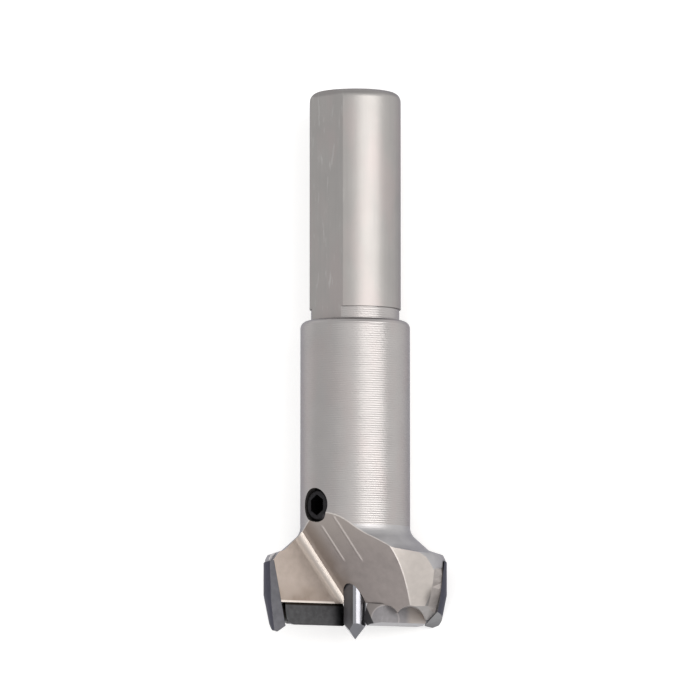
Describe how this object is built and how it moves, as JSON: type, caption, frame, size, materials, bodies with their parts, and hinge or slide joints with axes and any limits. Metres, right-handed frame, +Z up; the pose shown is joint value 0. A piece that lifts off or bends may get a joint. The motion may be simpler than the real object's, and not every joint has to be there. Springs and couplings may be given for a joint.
{
  "type": "hinge boring bit",
  "caption": "Short machine bit that bores flat-bottomed blind holes for cabinet hinges, with brazed cutters, rim spurs, a centre point and a flatted shank.",
  "frame": {"origin": "middle of the bit's footprint, on the table it lies on", "axes": "+Y along the bit's axis, from the centre point to the shank's end; +Z up from the table, shortest side"},
  "size_m": [0.02, 0.06, 0.012],
  "materials": {
    "body_steel": "satin turned and ground steel with a dull plated look",
    "hard_metal": "dark ground tungsten carbide",
    "ground_steel": "bright ground tool steel",
    "black_screw_steel": "black oxide"
  },
  "bodies": {
    "root": {"steel_body": "body_steel", "left_cutter": "hard_metal", "right_cutter": "hard_metal", "left_spur": "hard_metal", "right_spur": "hard_metal", "centre_point": "ground_steel", "grub_screw": "black_screw_steel"}
  },
  "joints": []
}
